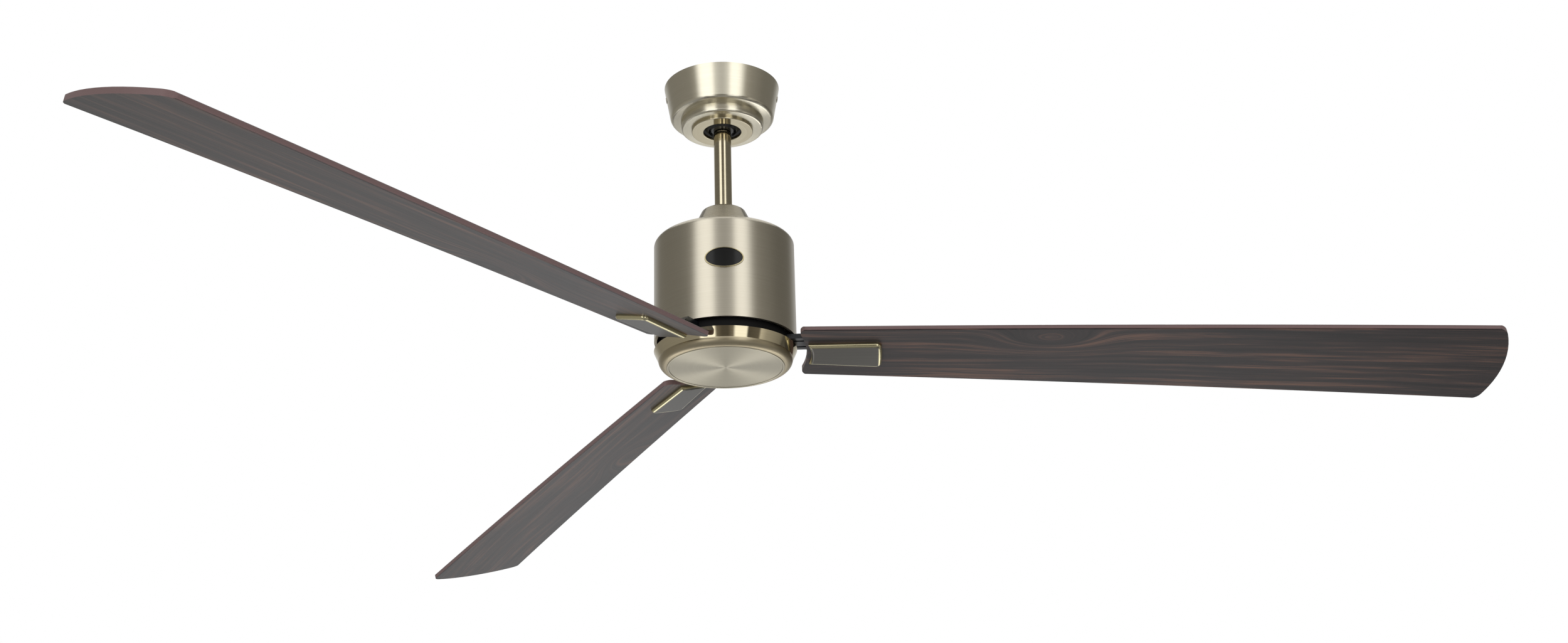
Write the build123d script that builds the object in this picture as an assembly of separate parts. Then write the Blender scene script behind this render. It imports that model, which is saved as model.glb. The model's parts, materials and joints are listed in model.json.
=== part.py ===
from build123d import *
import os
from math import asin, cos, pi, radians, sin, sqrt

# A three-blade ceiling fan that hangs on a short downrod from a ball seat.
# Millimetres. The origin is the middle of the ceiling face and +Z is up, so the fan is below zero.
# Three bodies: what is screwed to the ceiling, what hangs from the ball, and what spins.

# ---------------------------------------------------------------- driving dimensions
# blades
sweep_diameter = 1800.0        # across the blade tips
blade_count = 3
blade_root_width = 90.0
blade_tip_width = 140.0
blade_thickness = 6.0
blade_root_gap = 11.6          # housing to the blade's hollow root end
blade_root_corner = 9.0
blade_tip_corner = 15.0
blade_tip_bulge = 14.5         # how far the rounded tip stands out past its corners
blade_pitch = 14.6             # degrees, leading edge up
blade_droop = 2.9              # degrees the blade leaves the hub below level
blade_sag = 8.3                # bow of the blade under its own weight
blade_lead = 6.1               # how far the blade's middle stands ahead of the radial line
blade_rest_angle = -2.7        # degrees, where the first blade stands at rest
blade_edge_round = 2.0
blade_trim = 0.5               # the ends' corners are cut this far outside the sides
# blade arms and clamp plates
clamp_inset = 2.0              # blade's root end to the clamp plate
clamp_length = 85.0
clamp_root_width = 37.0
clamp_tip_width = 45.6
clamp_thickness = 5.5
clamp_corner = 7.0
clamp_edge_round = 3.8
clamp_root_hollow = 3.0
clamp_tip_bulge = 1.5
arm_thickness = 5.0
arm_neck_width = 37.0
arm_foot_thickness = 6.0
arm_foot_length = 33.0
arm_crank = 14.5               # run in which the neck comes down over the blade's root
arm_rib_width = 8.0
arm_rib_height = 3.0
arm_groove_width = 3.6
arm_groove_depth = 2.4
blade_screw_radius = 2.5
blade_screw_head_radius = 4.8
blade_screw_head_height = 2.6
blade_screw_grip = 3.0         # thread in the clamp plate
blade_screw_inset = 20.0       # clamp plate's root end to the first pair
# ceiling bracket
bracket_length = 112.0
bracket_width = 36.0
bracket_thickness = 2.5
bracket_hole_spacing = 89.0
bracket_hole_radius = 2.75
cable_hole_radius = 8.0
leg_spacing = 64.0             # between the inner faces of the two legs
seat_wall = 2.4
seat_mouth_radius = 17.0
ear_width = 10.0
terminal_depth = 8.0
terminal_height = 13.0
# hanger ball
ball_radius = 24.0
ball_drop = 38.0               # ceiling to the middle of the ball
ball_top_height = 15.0         # the ball is cut flat this far above its middle
ball_clearance = 0.3
ball_pin_radius = 3.0
ball_pin_depth = 5.0           # flat top of the ball to the pin
# canopy
canopy_top_radius = 71.2
canopy_edge_radius = 63.4
canopy_wall_height = 43.5
canopy_step_radius = 51.2
canopy_height = 56.0
canopy_wall = 1.0
canopy_mouth_radius = 30.0
canopy_edge_round = 5.0
canopy_collar_round = 3.0
canopy_screw_head_height = 0.6
ring_radius = 38.0
ring_hole_radius = 23.2
ring_thickness = 3.6
# downrod and its coupling
rod_radius = 10.65
rod_wall = 1.8
rod_length = 178.0
rod_above_ball = 16.0
fit_clearance = 0.05
yoke_radius = 17.0
yoke_flange_radius = 30.0
yoke_flange_thickness = 4.0
yoke_floor = 7.8               # solid stretch under the end of the rod
yoke_socket_depth = 30.0
yoke_spigot_radius = 13.0
yoke_spigot_length = 24.0
clevis_pin_radius = 3.0
clevis_pin_length = 46.0
clip_wire_radius = 0.9
clip_gap = 3.0                 # yoke to the clip
cover_base_radius = 45.0
cover_shoulder_radius = 26.1
cover_shoulder_round = 4.0
cover_height = 39.3
cover_wall = 1.0
# motor housing
housing_radius = 84.4
housing_height = 130.2
housing_shoulder_width = 13.0
housing_shoulder_height = 8.6
housing_wall = 1.2
housing_lip_width = 3.2
housing_screw_circle = 24.2
screw_turn = 30.0              # degrees round from X to the first housing, cover or case screw
badge_width = 46.0
badge_height = 25.0
badge_thickness = 1.6
badge_rim_width = 1.3
badge_drop = 57.0              # housing top to the middle of the badge
# shaft and bearings
shaft_radius = 8.5
shaft_bore_radius = 5.0
bearing_outer_radius = 20.0
bearing_width = 12.0
bearing_race = 3.6
bearing_ball_radius = 3.2
bearing_balls = 8
running_clearance = 0.05
# stator
stator_height = 42.0
stator_teeth = 12
tooth_tip_height = 3.0
slot_mouth = 5.0
coil_overhang = 6.0
board_rim = 4.0                # the board is this much smaller than the stator
board_thickness = 1.6
board_gap = 2.5                # bearing to board, the height of the shaft's collar
# rotor
air_gap = 0.8
cage_thickness = 15.2
magnet_groove_width = 2.4
magnet_groove_depth = 1.6
rotor_clearance = 6.2          # housing's inside to the rotor's flange
rotor_shell_wall = 3.5
rotor_flange_width = 7.5
rotor_flange_thickness = 3.0
rotor_window_radius = 9.0
rotor_screws = 6
hub_thickness = 12.0
hub_bore_radius = 24.0
hub_floor = 3.5
hub_screw_turn = 60.0          # degrees round from X to the first hub screw
# gap for the arms, and the bottom cover
arm_gap = 11.8                 # housing rim to bottom cover rim
blade_drop = 17.0              # housing rim down to the blades' middle plane
hub_rise = 0.8                 # bottom cover rim up to the hub
bowl_overhang = 0.2            # how far the bottom cover stands out past the housing
bowl_taper = 5.2
bowl_band_height = 11.5
bowl_height = 20.2
bowl_shoulder_width = 9.2
bowl_wall = 1.2
bowl_floor_width = 25.2        # flat ring that the cap sits on
cap_thickness = 2.0
cap_bead = 0.8
carrier_gap = 8.2              # cap's rim to the carrier's rim
carrier_thickness = 2.5
post_inset = 6.0
post_radius = 5.0
nut_height = 4.0
small_screw_radius = 2.0
small_head_radius = 3.8
small_head_height = 2.2

# ---------------------------------------------------------------- radii, from the housing inwards
rotor_flange_radius = housing_radius - housing_wall - rotor_clearance
case_radius = rotor_flange_radius - rotor_flange_width
cage_radius = case_radius - rotor_shell_wall
stator_radius = cage_radius - cage_thickness - air_gap
stator_yoke_radius = stator_radius * 0.48
tooth_width = stator_radius * 0.16
coil_build = stator_radius * 0.052
board_radius = stator_radius - board_rim
hub_radius = rotor_flange_radius
rotor_screw_circle = (case_radius + rotor_flange_radius) / 2
hub_screw_circle = (hub_bore_radius + hub_radius) / 2
bearing_pitch_radius = (bearing_outer_radius + shaft_radius) / 2
bowl_radius = housing_radius + bowl_overhang
bowl_waist_radius = bowl_radius - bowl_taper
cap_radius = bowl_waist_radius - bowl_shoulder_width
cap_edge_radius = cap_radius - 0.4
bowl_mouth_radius = cap_radius - bowl_floor_width
carrier_radius = cap_radius - carrier_gap
post_circle = carrier_radius - post_inset

# ---------------------------------------------------------------- reach of the blades and arms
blade_root_radius = housing_radius + blade_root_gap
clamp_start = blade_root_radius + clamp_inset
clamp_end = clamp_start + clamp_length
arm_foot_start = hub_radius - arm_foot_length
arm_neck_end = blade_root_radius + 1.0
arm_pad_start = arm_neck_end + arm_crank
clamp_flare = (clamp_tip_width - clamp_root_width) / clamp_length
arm_pad_width = clamp_root_width + clamp_flare * (arm_pad_start - clamp_start)

# ---------------------------------------------------------------- heights, from the ceiling down
ball_z = -ball_drop
rod_top = ball_z + rod_above_ball
rod_bottom = rod_top - rod_length
housing_top = rod_bottom - yoke_floor
housing_bottom = housing_top - housing_height
bowl_top = housing_bottom - arm_gap
bowl_bottom = bowl_top - bowl_height
blade_z = housing_bottom - blade_drop
hub_bottom = bowl_top + hub_rise
hub_top = hub_bottom + hub_thickness
rotor_bottom = hub_top
lower_bearing_bottom = rotor_bottom + rotor_shell_wall
board_bottom = lower_bearing_bottom + bearing_width + board_gap
stator_bottom = board_bottom + board_thickness + 2 * coil_overhang
stator_top = stator_bottom + stator_height
upper_bearing_bottom = stator_top + 2 * coil_overhang + board_gap
rotor_top = upper_bearing_bottom + bearing_width + running_clearance
rotor_split = (stator_bottom + stator_top) / 2
carrier_top = hub_bottom - 5.0
cap_top = bowl_bottom + cap_thickness
bowl_floor_top = cap_top + bowl_wall
shaft_top = housing_top + yoke_flange_thickness
arm_seat_z = hub_bottom + hub_floor
yoke_top = rod_bottom + yoke_socket_depth
clevis_z = rod_bottom + yoke_socket_depth / 2
clip_place = 2 * yoke_radius + clip_gap
ball_pin_z = ball_z + ball_top_height - ball_pin_depth
ball_pin_reach = sqrt(ball_radius**2 - (ball_top_height - ball_pin_depth) ** 2) - 1.5
seat_outer = ball_radius + ball_clearance + seat_wall

# ---------------------------------------------------------------- the blade's curved middle surface
# Each blade is a slab between two arcs in its own frame: x runs out along the blade, y across it
# with the leading side negative, z up. The arcs share one centre far below the blade.
tip_corner_x = sweep_diameter / 2 - blade_tip_bulge
root_x = sqrt(blade_root_radius**2 - (blade_root_width / 2) ** 2)
blade_length = tip_corner_x - root_x
bow_radius = blade_length**2 / (2 * blade_sag)
bow_x = root_x - bow_radius * sin(radians(blade_droop))
bow_z = -bow_radius * cos(radians(blade_droop))
half_blade = blade_thickness / 2


def bow_height(x, height):
    """Height at x of the arc that runs the given height above the blade's middle surface."""
    radius = bow_radius + height
    return bow_z + sqrt(radius**2 - (x - bow_x) ** 2)


def bowed_slab(x0, x1, low, high, width):
    """Slab from x0 to x1 that follows the blade's bow between two heights above its middle."""
    middle = (x0 + x1) / 2
    bottom = [(x, bow_height(x, low)) for x in (x0, middle, x1)]
    top = [(x, bow_height(x, high)) for x in (x1, middle, x0)]
    side = make_face(
        [
            ThreePointArc(*bottom),
            Line(bottom[2], top[0]),
            ThreePointArc(*top),
            Line(top[2], bottom[0]),
        ]
    )
    return extrude(Plane.XZ * side, width / 2, both=True)


def set_blade_parts(shape, index):
    """Put a shape from the blade's frame in its place on the fan."""
    turn = blade_rest_angle + index * 360 / blade_count
    return Pos(0, 0, blade_z) * Rot(0, 0, turn) * Rot(-blade_pitch, 0, 0) * shape


# ---------------------------------------------------------------- the canopy's sloping wall
def canopy_radius_at(z):
    """Outside radius of the canopy's sloping wall at a height."""
    share = -z / canopy_wall_height
    return canopy_top_radius + (canopy_edge_radius - canopy_top_radius) * share


ear_z = -canopy_wall_height / 3
ear_outer = canopy_radius_at(ear_z - ear_width / 2) - canopy_wall - 1.0
ear_inner = leg_spacing / 2 + bracket_thickness - 0.5
ear_middle = (ear_inner + ear_outer) / 2
ear_reach = ear_outer - ear_inner


# ---------------------------------------------------------------- shared shapes
def turned(points, rounds=()):
    """Turn a closed profile of (radius, height) points about Z. rounds lists (point, radius)."""
    profile = make_face(Polyline(*points, close=True))
    for point, radius in rounds:
        nearest = profile.vertices().sort_by_distance((point[0], point[1], 0))[0]
        profile = fillet(nearest, radius)
    return revolve(Plane.XZ * profile, Axis.Z)


def upright(radius, bottom, top):
    """Cylinder on the fan's axis between two heights."""
    return Pos(0, 0, bottom) * Cylinder(radius, top - bottom, align=(Align.CENTER, Align.CENTER, Align.MIN))


def tube(outer, inner, bottom, top):
    return upright(outer, bottom, top) - upright(inner, bottom, top)


def around(shape, count, start=0.0):
    """Copies of a shape, evenly spaced about Z."""
    return [Rot(0, 0, start + 360 * i / count) * shape for i in range(count)]


def pan_screw(head_radius, head_height, shank_radius, length):
    """Pan-head screw, head up, with the underside of the head at z = 0."""
    head = turned(
        [(0, 0), (head_radius, 0), (head_radius, head_height), (0, head_height)],
        [((head_radius, head_height), head_height * 0.5)],
    )
    shank = upright(shank_radius, -length, 0.01)
    slot = Pos(0, 0, head_height) * Box(head_radius * 1.3, 1.0, head_height)
    return head + shank - slot


# ---------------------------------------------------------------- fixed to the ceiling
def hanger_bracket():
    """Pressed steel stirrup: ceiling plate, two legs and a dished seat, with one side left open."""
    plate = Pos(0, 0, -bracket_thickness / 2) * Box(bracket_length, bracket_width, bracket_thickness)
    plate = fillet(plate.edges().filter_by(Axis.Z), bracket_width / 6)
    leg_height = ball_drop + bracket_thickness
    leg = Box(bracket_thickness, bracket_width, leg_height, align=(Align.MIN, Align.CENTER, Align.MAX))
    legs = [Pos(leg_spacing / 2, 0, 0) * leg, Pos(-leg_spacing / 2 - bracket_thickness, 0, 0) * leg]
    shelf = Pos(0, 0, ball_z) * Box(leg_spacing + bracket_thickness, bracket_width, bracket_thickness)
    dish = Pos(0, 0, ball_z) * Sphere(seat_outer)
    dish -= Pos(0, 0, ball_z + bracket_thickness / 2) * Cylinder(
        2 * seat_outer, 2 * seat_outer, align=(Align.CENTER, Align.CENTER, Align.MIN)
    )
    bracket = plate + legs + shelf + dish
    bracket -= Pos(0, 0, ball_z) * Sphere(ball_radius + ball_clearance)
    bracket -= upright(seat_mouth_radius, ball_z - 2 * ball_radius, ball_z)
    entry_width = 2 * (rod_radius + 1.5)
    entry = Box(entry_width, 3 * ball_radius, 3 * ball_radius, align=(Align.CENTER, Align.MIN, Align.CENTER))
    bracket -= Pos(0, 0, ball_z) * entry
    hole = Cylinder(bracket_hole_radius, 4 * bracket_thickness)
    for side in (-1, 1):
        bracket -= Pos(side * bracket_hole_spacing / 2, 0, 0) * hole
    bracket -= Cylinder(cable_hole_radius, 4 * bracket_thickness)
    # one ear each side carries a canopy screw
    for side in (-1, 1):
        ear = Pos(side * ear_middle, 0, ear_z) * Box(ear_reach, ear_width, bracket_thickness)
        lip = Box(bracket_thickness, ear_width, ear_width)
        bracket += ear
        bracket += Pos(side * (ear_outer - bracket_thickness / 2), 0, ear_z) * lip
    for seat in canopy_screw_seats():
        bracket -= seat * Cylinder(small_screw_radius + fit_clearance, 8 * bracket_thickness)
    return bracket


def canopy_screw_seats():
    """Places of the canopy's two side screws, square to its sloping wall."""
    slope = asin((canopy_top_radius - canopy_edge_radius) / canopy_wall_height) * 180 / pi
    seat = Pos(canopy_radius_at(ear_z) + fit_clearance, 0, ear_z) * Rot(0, 90 + slope, 0)
    return [Rot(0, 0, turn) * seat for turn in (0, 180)]


def canopy():
    """Spun bowl with a stepped collar below, open at the ceiling and round the ball."""
    edge_drop = canopy_wall_height + 1.5
    body = turned(
        [
            (0, 0),
            (canopy_top_radius, 0),
            (canopy_edge_radius, -canopy_wall_height),
            (canopy_step_radius, -edge_drop),
            (canopy_step_radius, -canopy_height),
            (0, -canopy_height),
        ],
        [
            ((canopy_edge_radius, -canopy_wall_height), canopy_edge_round),
            ((canopy_step_radius, -canopy_height), canopy_collar_round),
        ],
    )
    shell = offset(body, amount=-canopy_wall, openings=body.faces().sort_by(Axis.Z)[-1])
    shell -= upright(canopy_mouth_radius, -canopy_height - 1, 0)
    for seat in canopy_screw_seats():
        shell -= seat * Cylinder(small_screw_radius + 0.2, 12)
    return shell


def canopy_ring():
    """Cover ring that closes the canopy round the rod, with a spigot that clips into the mouth."""
    bottom = -canopy_height - ring_thickness
    return turned(
        [
            (ring_hole_radius, bottom),
            (ring_radius, bottom),
            (ring_radius, -canopy_height),
            (canopy_mouth_radius - fit_clearance, -canopy_height),
            (canopy_mouth_radius - fit_clearance, -canopy_height + 2 * canopy_wall),
            (ring_hole_radius + 2.5, -canopy_height + 2 * canopy_wall),
            (ring_hole_radius, -canopy_height),
        ],
        [((ring_radius, bottom), 1.0), ((ring_hole_radius, bottom), 0.8)],
    )


def canopy_screws():
    screw = pan_screw(small_head_radius, canopy_screw_head_height, small_screw_radius, 6.0)
    return [seat * screw for seat in canopy_screw_seats()]


def terminal_block():
    """Moulded block with a row of wire clamps, screwed to the side of one bracket leg."""
    length = bracket_width * 0.8
    block = Box(terminal_depth, length, terminal_height, align=(Align.MIN, Align.CENTER, Align.CENTER))
    block = chamfer(block.edges().filter_by(Axis.Y), 1.0)
    for i in (-1, 0, 1):
        block -= Pos(terminal_depth, i * length / 3.4, 0) * Rot(0, 90, 0) * Cylinder(2.4, terminal_depth)
    return Pos(-leg_spacing / 2 + 0.02, 0, ball_z / 2) * block


# ---------------------------------------------------------------- hanging from the ball
def hanger_ball():
    """Moulded ball, cut flat on top, with the rod's bore, the pin's groove and two saved pockets."""
    ball = Sphere(ball_radius)
    ball -= Pos(0, 0, ball_top_height) * Cylinder(
        2 * ball_radius, ball_radius, align=(Align.CENTER, Align.CENTER, Align.MIN)
    )
    foot_radius = rod_radius + 3.0
    foot_z = -sqrt(ball_radius**2 - foot_radius**2)
    ball -= Pos(0, 0, foot_z) * Cylinder(
        2 * ball_radius, ball_radius, align=(Align.CENTER, Align.CENTER, Align.MAX)
    )
    ball -= Cylinder(rod_radius + fit_clearance, 4 * ball_radius)
    groove = Pos(0, 0, ball_top_height) * Box(4 * ball_radius, 2 * ball_pin_radius, 2 * ball_pin_depth)
    ball -= groove
    ball -= Rot(0, 90, 0) * Pos(-ball_top_height + ball_pin_depth, 0, 0) * Cylinder(
        ball_pin_radius + fit_clearance, 2 * ball_pin_reach
    )
    return Pos(0, 0, ball_z) * ball


def ball_pin():
    """Cross pin through the rod, lying in the groove in the top of the ball."""
    pin = Cylinder(ball_pin_radius, 2 * ball_pin_reach)
    return Pos(0, 0, ball_pin_z) * Rot(0, 90, 0) * pin


def downrod():
    """Plated steel tube with a cross hole for the pin at each end."""
    rod = tube(rod_radius, rod_radius - rod_wall, rod_bottom, rod_top)
    rod -= Pos(0, 0, ball_pin_z) * Rot(0, 90, 0) * Cylinder(ball_pin_radius + fit_clearance, 4 * rod_radius)
    rod -= Pos(0, 0, clevis_z) * Rot(90, 0, 0) * Cylinder(clevis_pin_radius + fit_clearance, 4 * rod_radius)
    return rod


def yoke():
    """Cast coupling: socket for the rod above a flange, and a threaded spigot for the shaft below."""
    body = turned(
        [
            (0, yoke_top),
            (yoke_radius, yoke_top),
            (yoke_radius, housing_top + yoke_flange_thickness),
            (yoke_flange_radius, housing_top + yoke_flange_thickness),
            (yoke_flange_radius, housing_top),
            (yoke_spigot_radius, housing_top),
            (yoke_spigot_radius, housing_top - yoke_spigot_length),
            (0, housing_top - yoke_spigot_length),
        ],
        [
            ((yoke_radius, yoke_top), 1.5),
            ((yoke_radius, housing_top + yoke_flange_thickness), 3.0),
            ((yoke_flange_radius, housing_top + yoke_flange_thickness), 1.0),
        ],
    )
    body -= upright(rod_radius + fit_clearance, rod_bottom, yoke_top + 1)
    body -= upright(shaft_radius, housing_top - yoke_spigot_length - 1, shaft_top)
    body -= upright(shaft_bore_radius, shaft_top - 1, rod_bottom + 1)
    body -= Pos(0, 0, clevis_z) * Rot(90, 0, 0) * Cylinder(clevis_pin_radius + fit_clearance, 4 * yoke_radius)
    hole = Pos(housing_screw_circle, 0, 0) * upright(small_screw_radius + 0.2, housing_top - 1, yoke_top)
    for one in around(hole, 3, screw_turn):
        body -= one
    set_hole = Pos(yoke_radius, 0, yoke_top - yoke_socket_depth / 4) * Rot(0, 90, 0)
    body -= set_hole * Cylinder(small_screw_radius + 0.5, 2 * (yoke_radius - rod_radius))
    return body


def yoke_set_screw():
    """Grub screw that locks the rod in the yoke."""
    length = yoke_radius - rod_radius
    screw = Cylinder(small_screw_radius + 0.5, length)
    screw -= Pos(0, 0, length / 2) * extrude(RegularPolygon(1.3, 6), 2, both=True)
    place = Pos((yoke_radius + rod_radius) / 2 + fit_clearance, 0, yoke_top - yoke_socket_depth / 4)
    return place * Rot(0, 90, 0) * screw


def clevis_pin():
    """Headed pin through yoke and rod, drilled near its end for the clip."""
    head_radius = clevis_pin_radius + 1.6
    pin = upright(clevis_pin_radius, 0, clevis_pin_length)
    pin += upright(head_radius, -2.0, 0.01)
    clip_hole = Cylinder(clip_wire_radius + fit_clearance, 4 * clevis_pin_radius)
    pin -= Pos(0, 0, clip_place + fit_clearance) * Rot(0, 90, 0) * clip_hole
    return Pos(0, yoke_radius + fit_clearance, clevis_z) * Rot(90, 0, 0) * pin


def retaining_clip():
    """Spring wire clip: a straight leg through the pin and a leg bent over its outside."""
    leg = 2 * clevis_pin_radius + 6.0
    bend = clevis_pin_radius + clip_wire_radius + 0.3
    path = Polyline((0, -leg / 2), (0, leg / 2), (bend, leg / 2), (bend, -leg / 3))
    path = fillet(path.vertices().sort_by(Axis.Y)[-2:], bend * 0.45)
    ring = Plane(origin=path @ 0, z_dir=path % 0) * Circle(clip_wire_radius)
    wire = sweep(ring, path=path)
    return Plane(origin=(0, yoke_radius - clip_place, clevis_z), x_dir=(0, 0, 1), z_dir=(0, 1, 0)) * wire


def coupler_cover():
    """Spun bell that hides the coupling: flaring side, rounded shoulder and a flat top."""
    top = housing_top + cover_height
    body = turned(
        [(0, housing_top), (cover_base_radius, housing_top), (cover_shoulder_radius, top), (0, top)],
        [((cover_shoulder_radius, top), cover_shoulder_round)],
    )
    cover = offset(body, amount=-cover_wall, openings=body.faces().sort_by(Axis.Z)[0])
    return cover - upright(rod_radius + 0.3, housing_top, top + 1)


def motor_housing():
    """Spun can with a rounded shoulder, open below, hung from the yoke's flange."""

    def body(inset):
        radius = housing_radius - inset
        top = housing_top - inset
        flat = housing_radius - housing_shoulder_width
        side_top = housing_top - housing_shoulder_height
        arc = EllipticalCenterArc(
            (flat, side_top), housing_shoulder_width - inset, housing_shoulder_height - inset, 0
        )
        profile = make_face(
            [
                Line((0, housing_bottom), (radius, housing_bottom)),
                Line((radius, housing_bottom), (radius, side_top)),
                arc,
                Line((flat, top), (0, top)),
                Line((0, top), (0, housing_bottom)),
            ]
        )
        return revolve(Plane.XZ * profile, Axis.Z)

    can = body(0) - body(housing_wall)
    # the rim is rolled inwards
    lip_inner = housing_radius - housing_lip_width
    can += tube(housing_radius - housing_wall / 2, lip_inner, housing_bottom, housing_bottom + housing_wall)
    can -= upright(yoke_spigot_radius + 0.1, housing_top - 5, housing_top + 5)
    hole = upright(small_screw_radius + 0.2, housing_top - 5, housing_top + 5)
    for one in around(Pos(housing_screw_circle, 0, 0) * hole, 3, screw_turn):
        can -= one
    return can


def housing_screws():
    """Three screws through the flange of the yoke and the top of the housing, each with its nut."""
    head_seat = housing_top + yoke_flange_thickness
    length = yoke_flange_thickness + housing_wall + 4.0
    screw = Pos(housing_screw_circle, 0, head_seat) * pan_screw(
        small_head_radius, small_head_height, small_screw_radius, length
    )
    nut = extrude(RegularPolygon(small_head_radius, 6), -3.0)
    screw += Pos(housing_screw_circle, 0, housing_top - housing_wall) * nut
    return around(screw, 3, screw_turn)


def badge():
    """Blank oval plate with a raised rim, curved to lie on the housing."""
    oval = Ellipse(badge_width / 2, badge_height / 2)
    field = Ellipse(badge_width / 2 - badge_rim_width, badge_height / 2 - badge_rim_width)
    face_z = housing_top - badge_drop
    reach = housing_radius + 2 * badge_thickness
    block = Pos(0, 0, face_z) * extrude(Plane.XZ * oval, reach)
    recess = Pos(0, 0, face_z) * extrude(Plane.XZ * field, reach)
    span = badge_height
    outer = upright(housing_radius + badge_thickness, face_z - span, face_z + span)
    face = upright(housing_radius + badge_thickness * 0.6, face_z - span, face_z + span)
    wall = upright(housing_radius, face_z - span, face_z + span)
    return (block & outer) - (recess - face) - wall


def stator_shaft():
    """Hollow fixed shaft with a collar for the board and a side hole for the motor's wires."""
    bottom = carrier_top - carrier_thickness - nut_height - 1.5
    shaft = upright(shaft_radius, bottom, shaft_top)
    shaft += upright(shaft_radius + 3.0, lower_bearing_bottom + bearing_width, board_bottom)
    shaft += upright(shaft_radius + 3.0, stator_top + coil_overhang, upper_bearing_bottom)
    shaft += upright(shaft_radius + 3.0, carrier_top, lower_bearing_bottom)
    shaft -= upright(shaft_bore_radius, bottom - 1, shaft_top + 1)
    side_hole = Rot(0, 90, 0) * Cylinder(shaft_bore_radius / 2, 2 * shaft_radius)
    shaft -= Pos(shaft_radius, 0, stator_bottom - coil_overhang) * side_hole
    return shaft


def stator_core():
    """Stack of steel sheets: a ring with teeth whose tips spread towards the rotor."""
    core = Circle(stator_yoke_radius)
    tip_ring = Circle(stator_radius) - Circle(stator_radius - tooth_tip_height)
    tooth = Pos((stator_yoke_radius + stator_radius) / 2 - 1, 0) * Rectangle(
        stator_radius - stator_yoke_radius, tooth_width
    )
    mouth = Pos(stator_radius, 0) * Rectangle(4 * tooth_tip_height, slot_mouth)
    for i in range(stator_teeth):
        core += Rot(0, 0, i * 360 / stator_teeth) * tooth
    core += tip_ring
    for i in range(stator_teeth):
        core -= Rot(0, 0, (i + 0.5) * 360 / stator_teeth) * mouth
    core -= Circle(shaft_radius)
    return Pos(0, 0, stator_bottom) * extrude(core, stator_height)


def stator_windings():
    """One copper coil round each tooth."""
    inner = stator_yoke_radius + 1.5
    outer = stator_radius - tooth_tip_height - 1.5
    length = outer - inner
    loop = Box(length, tooth_width + 2 * coil_build, stator_height + 2 * coil_overhang)
    loop = fillet(loop.edges().filter_by(Axis.X), coil_build)
    loop -= Box(2 * length, tooth_width + 0.2, stator_height + 0.2)
    coil = Pos((inner + outer) / 2, 0, (stator_bottom + stator_top) / 2) * loop
    return around(coil, stator_teeth)


def motor_board():
    """Round board on the shaft's collar that drives the coils, with its larger parts."""
    board = tube(board_radius, shaft_radius, board_bottom, board_bottom + board_thickness)
    top = board_bottom + board_thickness
    can = upright(4.0, top - 0.01, top + coil_overhang - 1.0)
    for one in around(Pos(board_radius * 0.72, 0, 0) * can, 3, 15):
        board += one
    chip = Pos(board_radius * 0.6, 0, top + 1.0) * Box(9, 9, 2.02)
    for one in around(chip, 3, 75):
        board += one
    return board


def cover_carrier():
    """Pressed plate on the shaft's end with three posts for the bottom cover's screws."""
    bottom = carrier_top - carrier_thickness
    plate = upright(carrier_radius, bottom, carrier_top)
    for post in around(Pos(post_circle, 0, 0) * upright(post_radius, bowl_floor_top, bottom), 3, screw_turn):
        plate += post
    plate -= upright(shaft_radius, bottom - 1, carrier_top + 1)
    tapped = Pos(post_circle, 0, 0) * upright(small_screw_radius, bowl_floor_top - 1, carrier_top + 1)
    for one in around(tapped, 3, screw_turn):
        plate -= one
    window = Pos(carrier_radius * 0.6, 0, 0) * upright(carrier_radius * 0.15, bottom - 1, carrier_top + 1)
    for one in around(window, 3, 90):
        plate -= one
    return plate


def shaft_nut():
    """Hexagon nut that holds the carrier on the shaft."""
    top = carrier_top - carrier_thickness
    nut = Pos(0, 0, top - nut_height) * extrude(RegularPolygon(shaft_radius + 5.5, 6), nut_height)
    return nut - upright(shaft_radius, top - 2 * nut_height, top + 1)


def bowl_profile(inset):
    """Bottom cover body: polished taper, then a rounded shoulder down to the cap's seat."""
    waist_z = bowl_top - bowl_band_height
    seat_z = bowl_bottom + inset
    shoulder = bowl_waist_radius - cap_radius
    arc = EllipticalCenterArc(
        (cap_radius, waist_z), shoulder - inset, waist_z - bowl_bottom - inset, -90
    )
    profile = make_face(
        [
            Line((0, seat_z), (cap_radius, seat_z)),
            arc,
            Line((bowl_waist_radius - inset, waist_z), (bowl_radius - inset, bowl_top)),
            Line((bowl_radius - inset, bowl_top), (0, bowl_top)),
            Line((0, bowl_top), (0, seat_z)),
        ]
    )
    return revolve(Plane.XZ * profile, Axis.Z)


def bottom_bowl():
    """Spun cover under the arms. Its floor is set up by the cap's thickness to seat the cap."""
    bowl = bowl_profile(0) - bowl_profile(bowl_wall)
    bowl -= upright(cap_edge_radius + fit_clearance, bowl_bottom - 1, bowl_floor_top)
    bowl += tube(cap_radius + 0.8, bowl_mouth_radius, cap_top, bowl_floor_top)
    bowl += tube(cap_radius + 0.8, cap_edge_radius + fit_clearance, bowl_bottom + 0.3, bowl_floor_top)
    hole = Pos(post_circle, 0, 0) * upright(small_screw_radius + 0.2, cap_top - 1, bowl_floor_top + 1)
    for one in around(hole, 3, screw_turn):
        bowl -= one
    return bowl


def cover_screws():
    """Three screws up through the bowl's floor, sunk into the back of the cap."""
    screw = pan_screw(small_head_radius, 1.4, small_screw_radius, bowl_wall + 5.0)
    one = Pos(post_circle, 0, cap_top) * Rot(180, 0, 0) * screw
    return around(one, 3, screw_turn)


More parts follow.
